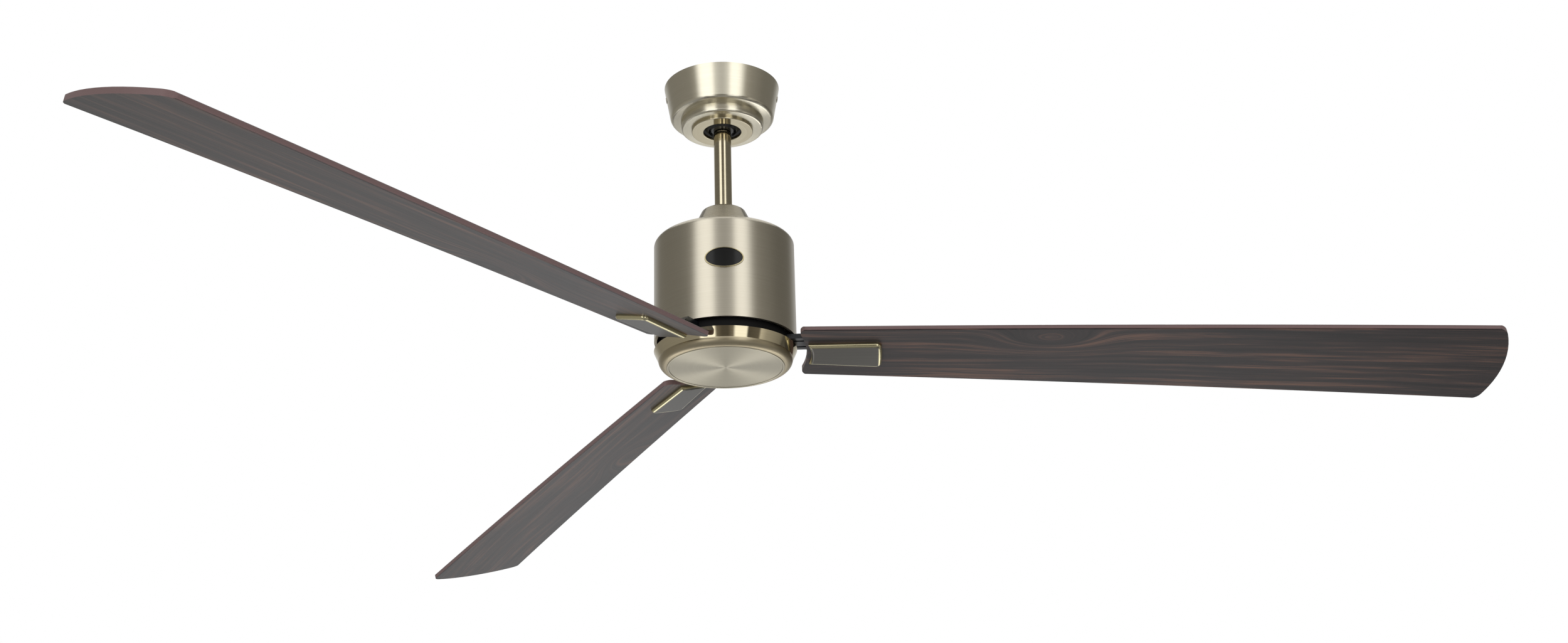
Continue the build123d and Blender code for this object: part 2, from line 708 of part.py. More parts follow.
def bottom_cap():
    """Round cap that snaps into the bowl: a beaded rim, a flat face and three spring tabs."""
    edge = cap_edge_radius
    cap = turned(
        [
            (0, bowl_bottom),
            (edge - 3.0, bowl_bottom),
            (edge - 2.2, bowl_bottom - cap_bead),
            (edge - 0.6, bowl_bottom - cap_bead),
            (edge, bowl_bottom),
            (edge, cap_top),
            (0, cap_top),
        ],
        [((edge - 2.2, bowl_bottom - cap_bead), 0.5), ((edge - 0.6, bowl_bottom - cap_bead), 0.5)],
    )
    pocket = Pos(post_circle, 0, 0) * upright(small_head_radius + 0.5, cap_top - 1.5, cap_top + 1)
    for one in around(pocket, 3, screw_turn):
        cap -= one
    tab = Box(1.6, 9.0, 4.0, align=(Align.CENTER, Align.CENTER, Align.MIN))
    for one in around(Pos(bowl_mouth_radius - 1.4, 0, cap_top) * tab, 3, 90):
        cap += one
    return cap


# ---------------------------------------------------------------- spinning
def bearing_rings(outer):
    """The two deep-groove bearings' inner or outer rings."""
    rings = []
    for bottom in (lower_bearing_bottom, upper_bearing_bottom):
        middle = bottom + bearing_width / 2
        if outer:
            outer_bore = bearing_outer_radius - bearing_race
            ring = tube(bearing_outer_radius, outer_bore, bottom, bottom + bearing_width)
        else:
            ring = tube(shaft_radius + bearing_race, shaft_radius, bottom, bottom + bearing_width)
        groove = Torus(bearing_pitch_radius, bearing_ball_radius + running_clearance)
        rings.append(ring - Pos(0, 0, middle) * groove)
    return rings


def bearing_ball_sets():
    """The balls of both bearings, which go round with the outer rings."""
    balls = []
    for bottom in (lower_bearing_bottom, upper_bearing_bottom):
        ball = Pos(bearing_pitch_radius, 0, bottom + bearing_width / 2) * Sphere(bearing_ball_radius)
        balls += around(ball, bearing_balls)
    return balls


def rotor_shell(upper):
    """One half of the rotor's cast case: plate, rim, bearing boss and flange."""
    outer = case_radius
    if upper:
        plate = upright(outer, rotor_top, rotor_top + rotor_shell_wall)
        rim = tube(outer, cage_radius, rotor_split, rotor_top + 1)
        flange = tube(rotor_flange_radius, cage_radius, rotor_split, rotor_split + rotor_flange_thickness)
        boss = upright(bearing_outer_radius + 4, upper_bearing_bottom, rotor_top + 1)
        bore = upright(bearing_outer_radius, upper_bearing_bottom - 1, rotor_top)
        outside = rotor_top + rotor_shell_wall
    else:
        plate = upright(outer, rotor_bottom, rotor_bottom + rotor_shell_wall)
        rim = tube(outer, cage_radius, rotor_bottom + 1, rotor_split)
        flange = tube(rotor_flange_radius, cage_radius, rotor_split - rotor_flange_thickness, rotor_split)
        boss = upright(bearing_outer_radius + 4, rotor_bottom + 1, lower_bearing_bottom + bearing_width)
        bore = upright(bearing_outer_radius, lower_bearing_bottom, lower_bearing_bottom + bearing_width + 1)
        outside = rotor_bottom
    shell = plate + rim + boss + flange
    shell -= bore
    shell -= Pos(0, 0, outside) * Cylinder(shaft_radius + bearing_race + 2.0, 4 * rotor_shell_wall)
    window = Pos(cage_radius * 0.62, 0, outside) * Cylinder(rotor_window_radius, 4 * rotor_shell_wall)
    if upper:
        for one in around(window, 6):
            shell -= one
    else:
        tapped = Pos(hub_screw_circle, 0, outside) * Cylinder(small_screw_radius, 4 * rotor_shell_wall)
        for one in around(tapped, 3, hub_screw_turn):
            shell -= one
    hole = Pos(rotor_screw_circle, 0, rotor_split) * Cylinder(small_screw_radius, 8 * rotor_flange_thickness)
    for one in around(hole, rotor_screws, screw_turn):
        shell -= one
    return shell


def rotor_cage():
    """Steel ring with the magnets' faces towards the stator, held between the two shells."""
    inner = stator_radius + air_gap
    ring = tube(cage_radius, inner, stator_bottom, stator_top)
    groove = Pos(inner, 0, rotor_split) * Box(magnet_groove_width, magnet_groove_depth, 2 * stator_height)
    for one in around(groove, 2 * blade_count + 8):
        ring -= one
    return ring


def case_screws():
    """Screws round the rotor's flange, with the heads above."""
    head_radius = rotor_flange_width / 2 - 0.2
    screw = pan_screw(head_radius, small_head_height, small_screw_radius, 2 * rotor_flange_thickness + 2)
    one = Pos(rotor_screw_circle, 0, rotor_split + rotor_flange_thickness) * screw
    return around(one, rotor_screws, screw_turn)


def blade_hub():
    """Cast hub plate with a pocket for the foot of each arm."""
    hub = upright(hub_radius, hub_bottom, hub_top)
    hub = fillet(hub.edges().filter_by(GeomType.CIRCLE).sort_by(Axis.Z)[0], 1.5)
    hub -= upright(hub_bore_radius, hub_bottom - 1, hub_top + 1)
    pocket_width = arm_neck_width + 0.4
    pocket = Pos(arm_foot_start - 0.2, -blade_lead, arm_seat_z) * Box(
        2 * hub_radius, pocket_width, 2 * hub_thickness, align=(Align.MIN, Align.CENTER, Align.MIN)
    )
    for i in range(blade_count):
        hub -= Rot(0, 0, blade_rest_angle + i * 360 / blade_count) * pocket
    for place in arm_screw_places():
        hub -= place * upright(blade_screw_radius + 0.2, hub_bottom - 1, hub_top)
        hub -= place * upright(blade_screw_head_radius + 0.3, hub_bottom - 1, hub_bottom + 1.6)
    hole = upright(small_screw_radius + 0.2, hub_bottom - 1, hub_top + 1)
    hole += upright(small_head_radius + 0.3, hub_bottom - 1, hub_bottom + 3)
    for one in around(Pos(hub_screw_circle, 0, 0) * hole, 3, hub_screw_turn):
        hub -= one
    return hub


def arm_screw_places():
    """Places of the two screws that hold each arm's foot."""
    places = []
    for i in range(blade_count):
        turn = Rot(0, 0, blade_rest_angle + i * 360 / blade_count)
        for x in (arm_foot_start + 9, hub_radius - 9):
            places.append(turn * Pos(x, -blade_lead, 0))
    return places


def arm_screws():
    length = hub_floor - 1.6 + arm_foot_thickness - 0.5
    screw = pan_screw(blade_screw_head_radius, 1.5, blade_screw_radius, length)
    return [place * Pos(0, 0, hub_bottom + 1.6) * Rot(180, 0, 0) * screw for place in arm_screw_places()]


def hub_screws():
    length = hub_thickness - 3 + rotor_shell_wall
    screw = pan_screw(small_head_radius, small_head_height, small_screw_radius, length)
    one = Pos(hub_screw_circle, 0, hub_bottom + 3) * Rot(180, 0, 0) * screw
    return around(one, 3, hub_screw_turn)


def ribbed_section(width, thickness):
    """Cross-section of the arm's neck, in y and z: a bar with two grooves along its underside."""
    half, low, high = width / 2, -thickness / 2, thickness / 2
    groove_low = low + arm_groove_depth
    inner = width / 5
    outer = inner + arm_groove_width
    points = [(-half, low)]
    for side in (-1, 1):
        near, far = sorted((side * inner, side * outer))
        points += [(near, low), (near, groove_low), (far, groove_low), (far, low)]
    points += [(half, low), (half, high), (-half, high)]
    return make_face(Polyline(*points, close=True))


def plate_outline(start, end, root_width, tip_width, corner, hollow):
    """Plan outline shared by the arm's pad and the clamp plate: hollow root end, rounded tip end."""
    root, tip = root_width / 2, tip_width / 2
    root_mid = start + hollow
    outline = make_face(
        [
            Line((start, -root), (end, -tip)),
            ThreePointArc((end, -tip), (end + clamp_tip_bulge, 0), (end, tip)),
            Line((end, tip), (start, root)),
            ThreePointArc((start, root), (root_mid, 0), (start, -root)),
        ]
    )
    outline = fillet(outline.vertices().group_by(Axis.X)[-1], corner)
    return outline


def blade_arm(index):
    """Forged arm: a level bar out of the hub, cranked and twisted down to a ribbed pad."""
    pad_end = clamp_end + 2 * clamp_tip_bulge
    pad = bowed_slab(clamp_start, pad_end, half_blade, half_blade + arm_thickness, 2 * clamp_tip_width)
    outline = plate_outline(arm_pad_start, clamp_end, arm_pad_width, clamp_tip_width, clamp_corner, 0.01)
    pad &= Pos(0, -blade_lead, -clamp_length) * extrude(outline, 2 * clamp_length)
    rib_low = half_blade + arm_thickness - 0.5
    rib_end = clamp_end - 2 * clamp_corner
    rib = bowed_slab(arm_pad_start, rib_end, rib_low, rib_low + 0.5 + arm_rib_height, arm_rib_width)
    rib = Pos(0, -blade_lead, 0) * rib
    rib = chamfer(rib.edges().filter_by(Axis.Y).sort_by(Axis.X)[-1], arm_rib_height)
    pad += rib
    for seat in blade_screw_seats():
        pad -= seat * Cylinder(blade_screw_radius + 0.1, 30)
    pad = set_blade_parts(pad, index)
    turn = Rot(0, 0, blade_rest_angle + index * 360 / blade_count)
    bar_z = arm_seat_z + arm_foot_thickness / 2
    section = ribbed_section(arm_neck_width, arm_foot_thickness)
    bar = Plane(origin=(arm_foot_start, -blade_lead, bar_z), x_dir=(0, 1, 0), z_dir=(1, 0, 0)) * section
    bar = turn * extrude(bar, arm_neck_end - arm_foot_start)
    crank_start = Plane(origin=(arm_neck_end, -blade_lead, bar_z), x_dir=(0, 1, 0), z_dir=(1, 0, 0)) * section
    end_section = ribbed_section(arm_pad_width, arm_thickness)
    end_z = bow_height(arm_pad_start, half_blade + arm_thickness / 2)
    crank_end = Plane(origin=(arm_pad_start + 0.5, -blade_lead, end_z), x_dir=(0, 1, 0), z_dir=(1, 0, 0))
    crank = loft([turn * crank_start, set_blade_parts(crank_end * end_section, index)], ruled=True)
    arm = bar + crank + pad
    for place in arm_screw_places():
        arm -= place * upright(blade_screw_radius, hub_bottom, arm_seat_z + arm_foot_thickness - 0.5)
    return arm


def blade_screw_seats():
    """Seats of the blade screws' heads on the arm's pad, square to the bowed surface."""
    seats = []
    last = clamp_length - 2 * clamp_corner - 2.0
    for reach in (blade_screw_inset, (blade_screw_inset + last) / 2, last):
        x = clamp_start + reach
        for side in (-1, 1):
            y = -blade_lead + side * clamp_root_width * 0.3
            fall = asin((x - bow_x) / bow_radius) * 180 / pi
            seats.append(Pos(x, y, bow_height(x, half_blade + arm_thickness)) * Rot(0, fall, 0))
    return seats


def blade_section(x):
    """Rounded cross-section of the blade at x, square to its bow."""
    width = blade_root_width + (blade_tip_width - blade_root_width) * (x - root_x) / blade_length
    fall = asin((x - bow_x) / bow_radius)
    square = Plane(origin=(x, -blade_lead, bow_height(x, 0)), x_dir=(0, 1, 0), z_dir=(cos(fall), 0, -sin(fall)))
    return square * RectangleRounded(width, blade_thickness, blade_edge_round)


def blade(index):
    """Wooden blade: a bowed board with rounded edges, cut to a hollow root and a rounded tip."""
    low, high = root_x - blade_root_corner, sweep_diameter / 2 + blade_tip_corner
    board = loft([blade_section(x) for x in (low, (low + high) / 2, high)])
    root, tip = blade_root_width / 2 + blade_trim, blade_tip_width / 2 + blade_trim
    outline = make_face(
        [
            Line((root_x, -root), (tip_corner_x, -tip)),
            ThreePointArc((tip_corner_x, -tip), (tip_corner_x + blade_tip_bulge, 0), (tip_corner_x, tip)),
            Line((tip_corner_x, tip), (root_x, root)),
            ThreePointArc((root_x, root), (blade_root_radius, 0), (root_x, -root)),
        ]
    )
    outline = fillet(outline.vertices().group_by(Axis.X)[-1], blade_tip_corner)
    outline = fillet(outline.vertices().group_by(Axis.X)[0], blade_root_corner)
    board &= Pos(0, -blade_lead, -sweep_diameter / 8) * extrude(outline, sweep_diameter / 4)
    for seat in blade_screw_seats():
        board -= seat * Cylinder(blade_screw_radius + 0.1, 8 * blade_thickness)
    return set_blade_parts(board, index)


def clamp_plate(index):
    """Brass plate under the blade root: flat below with a rounded rim, bedded on the blade above."""
    middle = clamp_start + clamp_length / 2
    fall = asin((middle - bow_x) / bow_radius) * 180 / pi
    outline = plate_outline(
        clamp_start, clamp_end, clamp_root_width, clamp_tip_width, clamp_corner, clamp_root_hollow
    )
    plate = extrude(Pos(-middle, 0) * outline, clamp_thickness + half_blade)
    plate = fillet(plate.faces().sort_by(Axis.Z)[0].edges(), clamp_edge_round)
    seat_z = bow_height(middle, -half_blade)
    plate = Pos(middle, -blade_lead, seat_z) * Rot(0, fall, 0) * Pos(0, 0, -clamp_thickness) * plate
    plate -= bowed_slab(root_x, clamp_end + clamp_length, -half_blade, 2 * blade_thickness, 2 * clamp_tip_width)
    reach = arm_thickness + blade_thickness + blade_screw_grip
    for seat in blade_screw_seats():
        plate -= seat * Cylinder(blade_screw_radius + fit_clearance, 2 * reach)
    return set_blade_parts(plate, index)


def blade_screws(index):
    """Six screws down through the arm's pad and the blade into the clamp plate."""
    length = arm_thickness + blade_thickness + blade_screw_grip - 0.3
    screw = pan_screw(blade_screw_head_radius, blade_screw_head_height, blade_screw_radius, length)
    return [set_blade_parts(seat * screw, index) for seat in blade_screw_seats()]


# ---------------------------------------------------------------- write every node
def write(name, shape):
    if isinstance(shape, list):
        shape = Compound(children=shape)
    export_step(shape, f"parts/{name}.step")


os.makedirs("parts", exist_ok=True)

write("hanger_bracket", hanger_bracket())
write("terminal_block", terminal_block())
write("canopy", canopy())
write("canopy_ring", canopy_ring())
write("canopy_screws", canopy_screws())

write("hanger_ball", hanger_ball())
write("ball_pin", ball_pin())
write("downrod", downrod())
write("coupler_cover", coupler_cover())
write("yoke", yoke())
write("yoke_set_screw", yoke_set_screw())
write("clevis_pin", clevis_pin())
write("retaining_clip", retaining_clip())
write("motor_housing", motor_housing())
write("housing_screws", housing_screws())
write("badge", badge())
write("stator_shaft", stator_shaft())
write("bearing_inner_rings", bearing_rings(outer=False))
write("stator_core", stator_core())
write("stator_windings", stator_windings())
write("motor_board", motor_board())
write("cover_carrier", cover_carrier())
write("shaft_nut", shaft_nut())
write("bottom_bowl", bottom_bowl())
write("cover_screws", cover_screws())
write("bottom_cap", bottom_cap())

write("bearing_outer_rings", bearing_rings(outer=True))
write("bearing_ball_sets", bearing_ball_sets())
write("rotor_upper_shell", rotor_shell(upper=True))
write("rotor_lower_shell", rotor_shell(upper=False))
write("rotor_cage", rotor_cage())
write("case_screws", case_screws())
write("blade_hub", blade_hub())
write("hub_screws", hub_screws())
write("arm_screws", arm_screws())
for index in range(blade_count):
    write(f"blade_arm_{index + 1}", blade_arm(index))
    write(f"blade_{index + 1}", blade(index))
    write(f"clamp_plate_{index + 1}", clamp_plate(index))
    write(f"blade_screws_{index + 1}", blade_screws(index))
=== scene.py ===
import math
import json
import bpy
import bmesh
from mathutils import Matrix, Vector


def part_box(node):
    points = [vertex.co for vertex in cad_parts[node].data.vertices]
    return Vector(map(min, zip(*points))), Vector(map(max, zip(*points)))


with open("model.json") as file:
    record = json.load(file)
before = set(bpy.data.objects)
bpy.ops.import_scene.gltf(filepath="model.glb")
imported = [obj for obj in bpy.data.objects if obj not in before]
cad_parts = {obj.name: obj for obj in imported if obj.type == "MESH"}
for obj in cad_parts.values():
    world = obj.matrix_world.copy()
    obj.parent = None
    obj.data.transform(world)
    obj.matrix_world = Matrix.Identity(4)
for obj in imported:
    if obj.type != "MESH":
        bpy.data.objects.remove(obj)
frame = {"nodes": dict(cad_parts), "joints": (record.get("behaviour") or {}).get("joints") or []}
nodes = frame["nodes"]
joints = {joint["name"]: joint for joint in frame["joints"]}
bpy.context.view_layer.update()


# ---------------------------------------------------------------- hanger bracket
# A stirrup pressed from 2.5 mm steel strip and screwed to the ceiling; its dished seat carries the
# ball. It is dipped in black enamel, which leaves a half-gloss skin with a slight ripple.

def linear(colour):
    """An sRGB hex colour as linear red, green, blue and alpha."""
    parts = [int(colour[i:i + 2], 16) / 255 for i in (1, 3, 5)]
    return tuple(part / 12.92 if part <= 0.04045 else ((part + 0.055) / 1.055) ** 2.4
                 for part in parts) + (1.0,)


def node(tree, kind, inputs=None, stops=(), **settings):
    """Adds a shader node with its settings. An input is linked to a socket or set to a value."""
    made = tree.nodes.new("ShaderNode" + kind)
    for name, value in settings.items():
        setattr(made, name, value)
    for name, value in (inputs or {}).items():
        if isinstance(value, bpy.types.NodeSocket):
            tree.links.new(value, made.inputs[name])
        else:
            made.inputs[name].default_value = value
    if stops:
        ramp = made.color_ramp.elements
        (ramp[0].position, ramp[0].color), (ramp[1].position, ramp[1].color) = stops[0], stops[-1]
        for position, colour in stops[1:-1]:
            ramp.new(position).color = colour
    return made


def finish(name):
    """An empty material to build a finish in."""
    material = bpy.data.materials.new(name)
    material.use_nodes = True
    material.node_tree.nodes.clear()
    return material, material.node_tree


def dress(material, *names):
    """Gives CAD nodes their finish."""
    for name in names:
        nodes[name].data.materials.clear()
        nodes[name].data.materials.append(material)


def black_skin(name, dark, light, low, high, grain, bump, depth, **shine):
    """A black coat or moulding with a fine grain, between two tones and two roughnesses."""
    material, tree = finish(name)
    place = node(tree, "TexCoord").outputs["Object"]
    uneven = node(tree, "TexNoise", {"Vector": place, "Scale": 1 / grain,
                                     "Detail": 2.0}).outputs["Fac"]
    tone = node(tree, "ValToRGB", {"Fac": uneven}, [(0.3, linear(dark)), (0.7, linear(light))])
    rough = node(tree, "MapRange", {"Value": uneven, "To Min": low, "To Max": high})
    skin = node(tree, "Bump", {"Height": uneven, "Strength": bump, "Distance": depth})
    shader = node(tree, "BsdfPrincipled", {"Base Color": tone.outputs["Color"],
                                           "Roughness": rough.outputs["Result"],
                                           "Normal": skin.outputs["Normal"], **shine})
    node(tree, "OutputMaterial", {"Surface": shader.outputs["BSDF"]})
    return material


enamel_ripple = 0.002
enamelled_steel = black_skin("black_enamelled_steel", "#141414", "#1f1f1f", 0.16, 0.28,
                             enamel_ripple, 0.1, 0.0002)
dress(enamelled_steel, "hanger_bracket")


# ---------------------------------------------------------------- steel pins, nuts and screws
# Cold-headed or turned steel with a bright zinc plating, which leaves a cloudy blue-white metal:
# clouds of 3 mm, and a grain of 0.4 mm that breaks the shine.

zinc, tree = finish("zinc_plated_steel")
place = node(tree, "TexCoord").outputs["Object"]
cloud = node(tree, "TexNoise", {"Vector": place, "Scale": 1 / 0.003, "Detail": 3.0}).outputs["Fac"]
grain = node(tree, "TexNoise", {"Vector": place, "Scale": 1 / 0.0004, "Detail": 2.0}).outputs["Fac"]
tone = node(tree, "ValToRGB", {"Fac": cloud}, [(0.3, linear("#9fa3a8")), (0.7, linear("#d2d5d8"))])
rough = node(tree, "MapRange", {"Value": grain, "To Min": 0.24, "To Max": 0.42})
skin = node(tree, "Bump", {"Height": grain, "Strength": 0.1, "Distance": 0.0001})
shader = node(tree, "BsdfPrincipled", {"Base Color": tone.outputs["Color"], "Metallic": 1.0,
                                       "Roughness": rough.outputs["Result"],
                                       "Normal": skin.outputs["Normal"]})
node(tree, "OutputMaterial", {"Surface": shader.outputs["BSDF"]})
dress(zinc, "ball_pin", "yoke_set_screw", "clevis_pin", "retaining_clip",
      "housing_screws", "cover_screws", "shaft_nut", "case_screws", "hub_screws", "arm_screws")


# ---------------------------------------------------------------- terminal block
# White polyamide, injection moulded, clipped on the bracket's leg. The mould leaves a fine even
# texture and a soft shine.

moulding, tree = finish("white_moulding")
place = node(tree, "TexCoord").outputs["Object"]
grain = node(tree, "TexNoise", {"Vector": place, "Scale": 1 / 0.0003, "Detail": 2.0}).outputs["Fac"]
tone = node(tree, "ValToRGB", {"Fac": grain}, [(0.3, linear("#dcd9d0")), (0.7, linear("#ebe8e1"))])
skin = node(tree, "Bump", {"Height": grain, "Strength": 0.15, "Distance": 0.0001})
shader = node(tree, "BsdfPrincipled", {"Base Color": tone.outputs["Color"], "Roughness": 0.45,
                                       "IOR": 1.53, "Normal": skin.outputs["Normal"]})
node(tree, "OutputMaterial", {"Surface": shader.outputs["BSDF"]})
dress(moulding, "terminal_block")


# ---------------------------------------------------------------- canopy, coupler cover and housing
# Bowls and a drum spun from sheet steel, plated with antique brass and brushed while they turn, so
# that fine lines run round them and each light spreads across the lines into a soft upright band.
# The canopy gets a lighter copy of the plate as painted highlight, and its inside is painted near
# black as painted shade; its screws match the outside.

def lathe_lines(tree, line):
    """Fine uneven lines round the axis, some 5 cm long and of a given width, on walls and flats."""
    place = node(tree, "TexCoord").outputs["Object"]
    flat = node(tree, "VectorMath", {0: place, 1: (1, 1, 0)},
                operation="MULTIPLY").outputs["Vector"]
    out = node(tree, "VectorMath", {0: flat}, operation="LENGTH").outputs["Value"]
    rings = node(tree, "Math", {0: out, 1: 1 / line}, operation="MULTIPLY").outputs["Value"]
    lines = node(tree, "VectorMath", {0: place, 1: (18, 18, 1 / line)}, operation="MULTIPLY")
    return node(tree, "TexNoise", {"Vector": lines.outputs["Vector"], "W": rings, "Scale": 1.0,
                                   "Detail": 3.0}, noise_dimensions="4D").outputs["Fac"]


def plate_over(tree, colour, rough, brush, spread, metal=1.0):
    """Metal whose shine is drawn out across the lathe lines, with the material's output."""
    skin = node(tree, "Bump", {"Height": brush, "Strength": 0.04, "Distance": 0.0001})
    round_axis = node(tree, "Tangent", direction_type="RADIAL", axis="Z")
    shader = node(tree, "BsdfPrincipled", {"Base Color": colour, "Metallic": metal,
                                           "Roughness": rough, "Anisotropic": spread,
                                           "Anisotropic Rotation": 0.25,
                                           "Tangent": round_axis.outputs["Tangent"],
                                           "Normal": skin.outputs["Normal"]})
    node(tree, "OutputMaterial", {"Surface": shader.outputs["BSDF"]})


def brushed_brass(name, dark, light, spread, low, high, line):
    """Antique brass plate brushed round the axis."""
    material, tree = finish(name)
    brush = lathe_lines(tree, line)
    tone = node(tree, "ValToRGB", {"Fac": brush}, [(0.25, linear(dark)), (0.75, linear(light))])
    rough = node(tree, "MapRange", {"Value": brush, "To Min": low, "To Max": high})
    plate_over(tree, tone.outputs["Color"], rough.outputs["Result"], brush, spread)
    return material


# real brushing has lines under 0.1 mm; they are 0.5 mm here, coarse enough to show
brush_line = 0.0005
brush_spread = 0.75
satin_brass = brushed_brass("antique_brass_satin", "#c4bdac", "#cec8b8",
                            brush_spread, 0.28, 0.34, brush_line)
dress(satin_brass, "motor_housing", "canopy_screws")

# painted shade: a darker copy of the same satin brass, so that the coupler cover's sides come out
# darker
coupler_brass_shaded_copy = brushed_brass("antique_brass_satin_shaded_copy", "#98917f", "#a39c8b",
                           brush_spread, 0.24, 0.3, brush_line)
dress(coupler_brass_shaded_copy, "coupler_cover")

# painted shade: near black on the canopy's inside, on faces that look towards the axis or up, where
# shade falls
canopy_brass_lit_and_shaded, tree = finish("antique_brass_satin_lit_copy_shaded_inside")
brush = lathe_lines(tree, brush_line)
place = node(tree, "TexCoord")
sideways = node(tree, "VectorMath", {0: place.outputs["Object"], 1: (1, 1, 0)},
                operation="MULTIPLY")
sideways = node(tree, "VectorMath", {0: sideways.outputs["Vector"]}, operation="NORMALIZE")
outwards = node(tree, "VectorMath", {0: place.outputs["Normal"], 1: sideways.outputs["Vector"]},
                operation="DOT_PRODUCT").outputs["Value"]
inwards = node(tree, "MapRange", {"Value": outwards, "From Min": -0.1, "From Max": -0.3})
upwards = node(tree, "SeparateXYZ", {0: place.outputs["Normal"]}).outputs["Z"]
upwards = node(tree, "MapRange", {"Value": upwards, "From Min": 0.4, "From Max": 0.6})
inside = node(tree, "Math", {0: inwards.outputs["Result"], 1: upwards.outputs["Result"]},
              operation="MAXIMUM").outputs["Value"]
# painted highlight: these plated tones are lighter than the same brass on the housing, so the
# canopy's shine comes out brighter
plated = node(tree, "ValToRGB", {"Fac": brush},
              [(0.25, linear("#dad4c0")), (0.75, linear("#e5dfcd"))])
tone = node(tree, "Mix", {0: inside, 6: plated.outputs["Color"], 7: linear("#171717")},
            data_type="RGBA").outputs[2]
plated_rough = node(tree, "MapRange", {"Value": brush, "To Min": 0.23, "To Max": 0.28})
rough = node(tree, "MapRange", {"Value": inside, "To Min": plated_rough.outputs["Result"],
                                "To Max": 0.5})
outside = node(tree, "Math", {0: 1.0, 1: inside}, operation="SUBTRACT").outputs["Value"]
plate_over(tree, tone, rough.outputs["Result"], brush, brush_spread, outside)
dress(canopy_brass_lit_and_shaded, "canopy")


# ---------------------------------------------------------------- canopy ring and downrod
# The ring is turned and the half-inch pipe drawn; both are polished and lacquered over the antique
# plate, so they mirror their surroundings in a slightly warmer gold than the brushed pieces.

polish_line = 0.0006
bright_brass = brushed_brass("antique_brass_bright", "#cbc1a5", "#d9d0b6",
                             0.3, 0.09, 0.15, polish_line)
dress(bright_brass, "canopy_ring", "downrod")


# ---------------------------------------------------------------- hanger ball
# The ball that the rod hangs by, moulded in black glass-filled nylon and left as it comes out of
# the mould, with a soft shine.

nylon_grain = 0.0005
nylon = black_skin("black_nylon", "#101010", "#1c1c1c", 0.22, 0.32,
                   nylon_grain, 0.1, 0.0001, IOR=1.53)
dress(nylon, "hanger_ball")


# ---------------------------------------------------------------- yoke, blade hub and blade arms
# Die-cast metal with a black powder coat and a fine orange-peel skin: half matt on the yoke and
# arms, dull on the hub. The hub's coat is also made blacker, as painted shade for the dark gap
# under the housing where it turns.

orange_peel = 0.0012
casting = black_skin("black_powder_coated_casting", "#0b0d0f", "#131518", 0.26, 0.36,
                     orange_peel, 0.2, 0.0002, **{"Specular IOR Level": 0.5})
dress(casting, "yoke", "blade_arm_1", "blade_arm_2", "blade_arm_3")
# painted shade: the hub is nearly black, darker than the yoke and arms in the same coat
dull_shaded_hub_casting = black_skin("black_powder_coated_hub_painted_shade", "#040404", "#080808", 0.5, 0.62,
                          orange_peel, 0.2, 0.0002, **{"Specular IOR Level": 0.2})
dress(dull_shaded_hub_casting, "blade_hub")


# ---------------------------------------------------------------- badge
# A small oval plate fixed to the housing's front and left blank: black enamel poured inside a
# brass rim.

badge_low, badge_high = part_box("badge")
badge_middle = (badge_low + badge_high) / 2
badge_size = badge_high - badge_low
enamel, tree = finish("black_enamel_in_brass_rim")
place = node(tree, "TexCoord").outputs["Object"]
centred = node(tree, "Mapping", {"Vector": place, "Location": badge_middle,
                                 "Scale": (badge_size.x / 2, 1.0, badge_size.z / 2)},
               vector_type="TEXTURE").outputs["Vector"]
oval = node(tree, "VectorMath", {0: centred, 1: (1, 0, 1)}, operation="MULTIPLY").outputs["Vector"]
out = node(tree, "VectorMath", {0: oval}, operation="LENGTH").outputs["Value"]
rim_start, rim_full = 0.93, 0.945
rim = node(tree, "MapRange", {"Value": out, "From Min": rim_start,
                              "From Max": rim_full}).outputs["Result"]
speck = node(tree, "TexNoise", {"Vector": place, "Scale": 1 / 0.0006}).outputs["Fac"]
field = node(tree, "ValToRGB", {"Fac": speck}, [(0.3, linear("#060606")), (0.7, linear("#0d0d0c"))])
glass = node(tree, "BsdfPrincipled", {"Base Color": field.outputs["Color"], "Roughness": 0.12,
                                      "Specular IOR Level": 0.3})
metal = node(tree, "BsdfPrincipled", {"Base Color": linear("#a59b7b"), "Metallic": 1.0,
                                      "Roughness": 0.2})
both = node(tree, "MixShader", {0: rim, 1: glass.outputs["BSDF"], 2: metal.outputs["BSDF"]})
node(tree, "OutputMaterial", {"Surface": both.outputs["Shader"]})
dress(enamel, "badge")


# ---------------------------------------------------------------- shaft and bearings
# The shaft, the bearing rings and the balls are ground bearing steel: bright, with faint grinding
# lines round the axis.

ground_steel, tree = finish("ground_bearing_steel")
place = node(tree, "TexCoord").outputs["Object"]
lines = node(tree, "VectorMath", {0: place, 1: (30, 30, 1 / 0.0004)}, operation="MULTIPLY")
grind = node(tree, "TexNoise", {"Vector": lines.outputs["Vector"], "Scale": 1.0}).outputs["Fac"]
tone = node(tree, "ValToRGB", {"Fac": grind}, [(0.3, linear("#b5b6b8")), (0.7, linear("#dcdddd"))])
rough = node(tree, "MapRange", {"Value": grind, "To Min": 0.12, "To Max": 0.25})
shader = node(tree, "BsdfPrincipled", {"Base Color": tone.outputs["Color"], "Metallic": 1.0,
                                       "Roughness": rough.outputs["Result"]})
node(tree, "OutputMaterial", {"Surface": shader.outputs["BSDF"]})
dress(ground_steel, "stator_shaft", "bearing_inner_rings", "bearing_outer_rings",
      "bearing_ball_sets")


# ---------------------------------------------------------------- stator core and windings
# The core is a stack of 0.5 mm electrical steel sheets, dark grey with an edge at each sheet; the
# coils are copper wire in a clear amber enamel, wound in 0.8 mm turns.

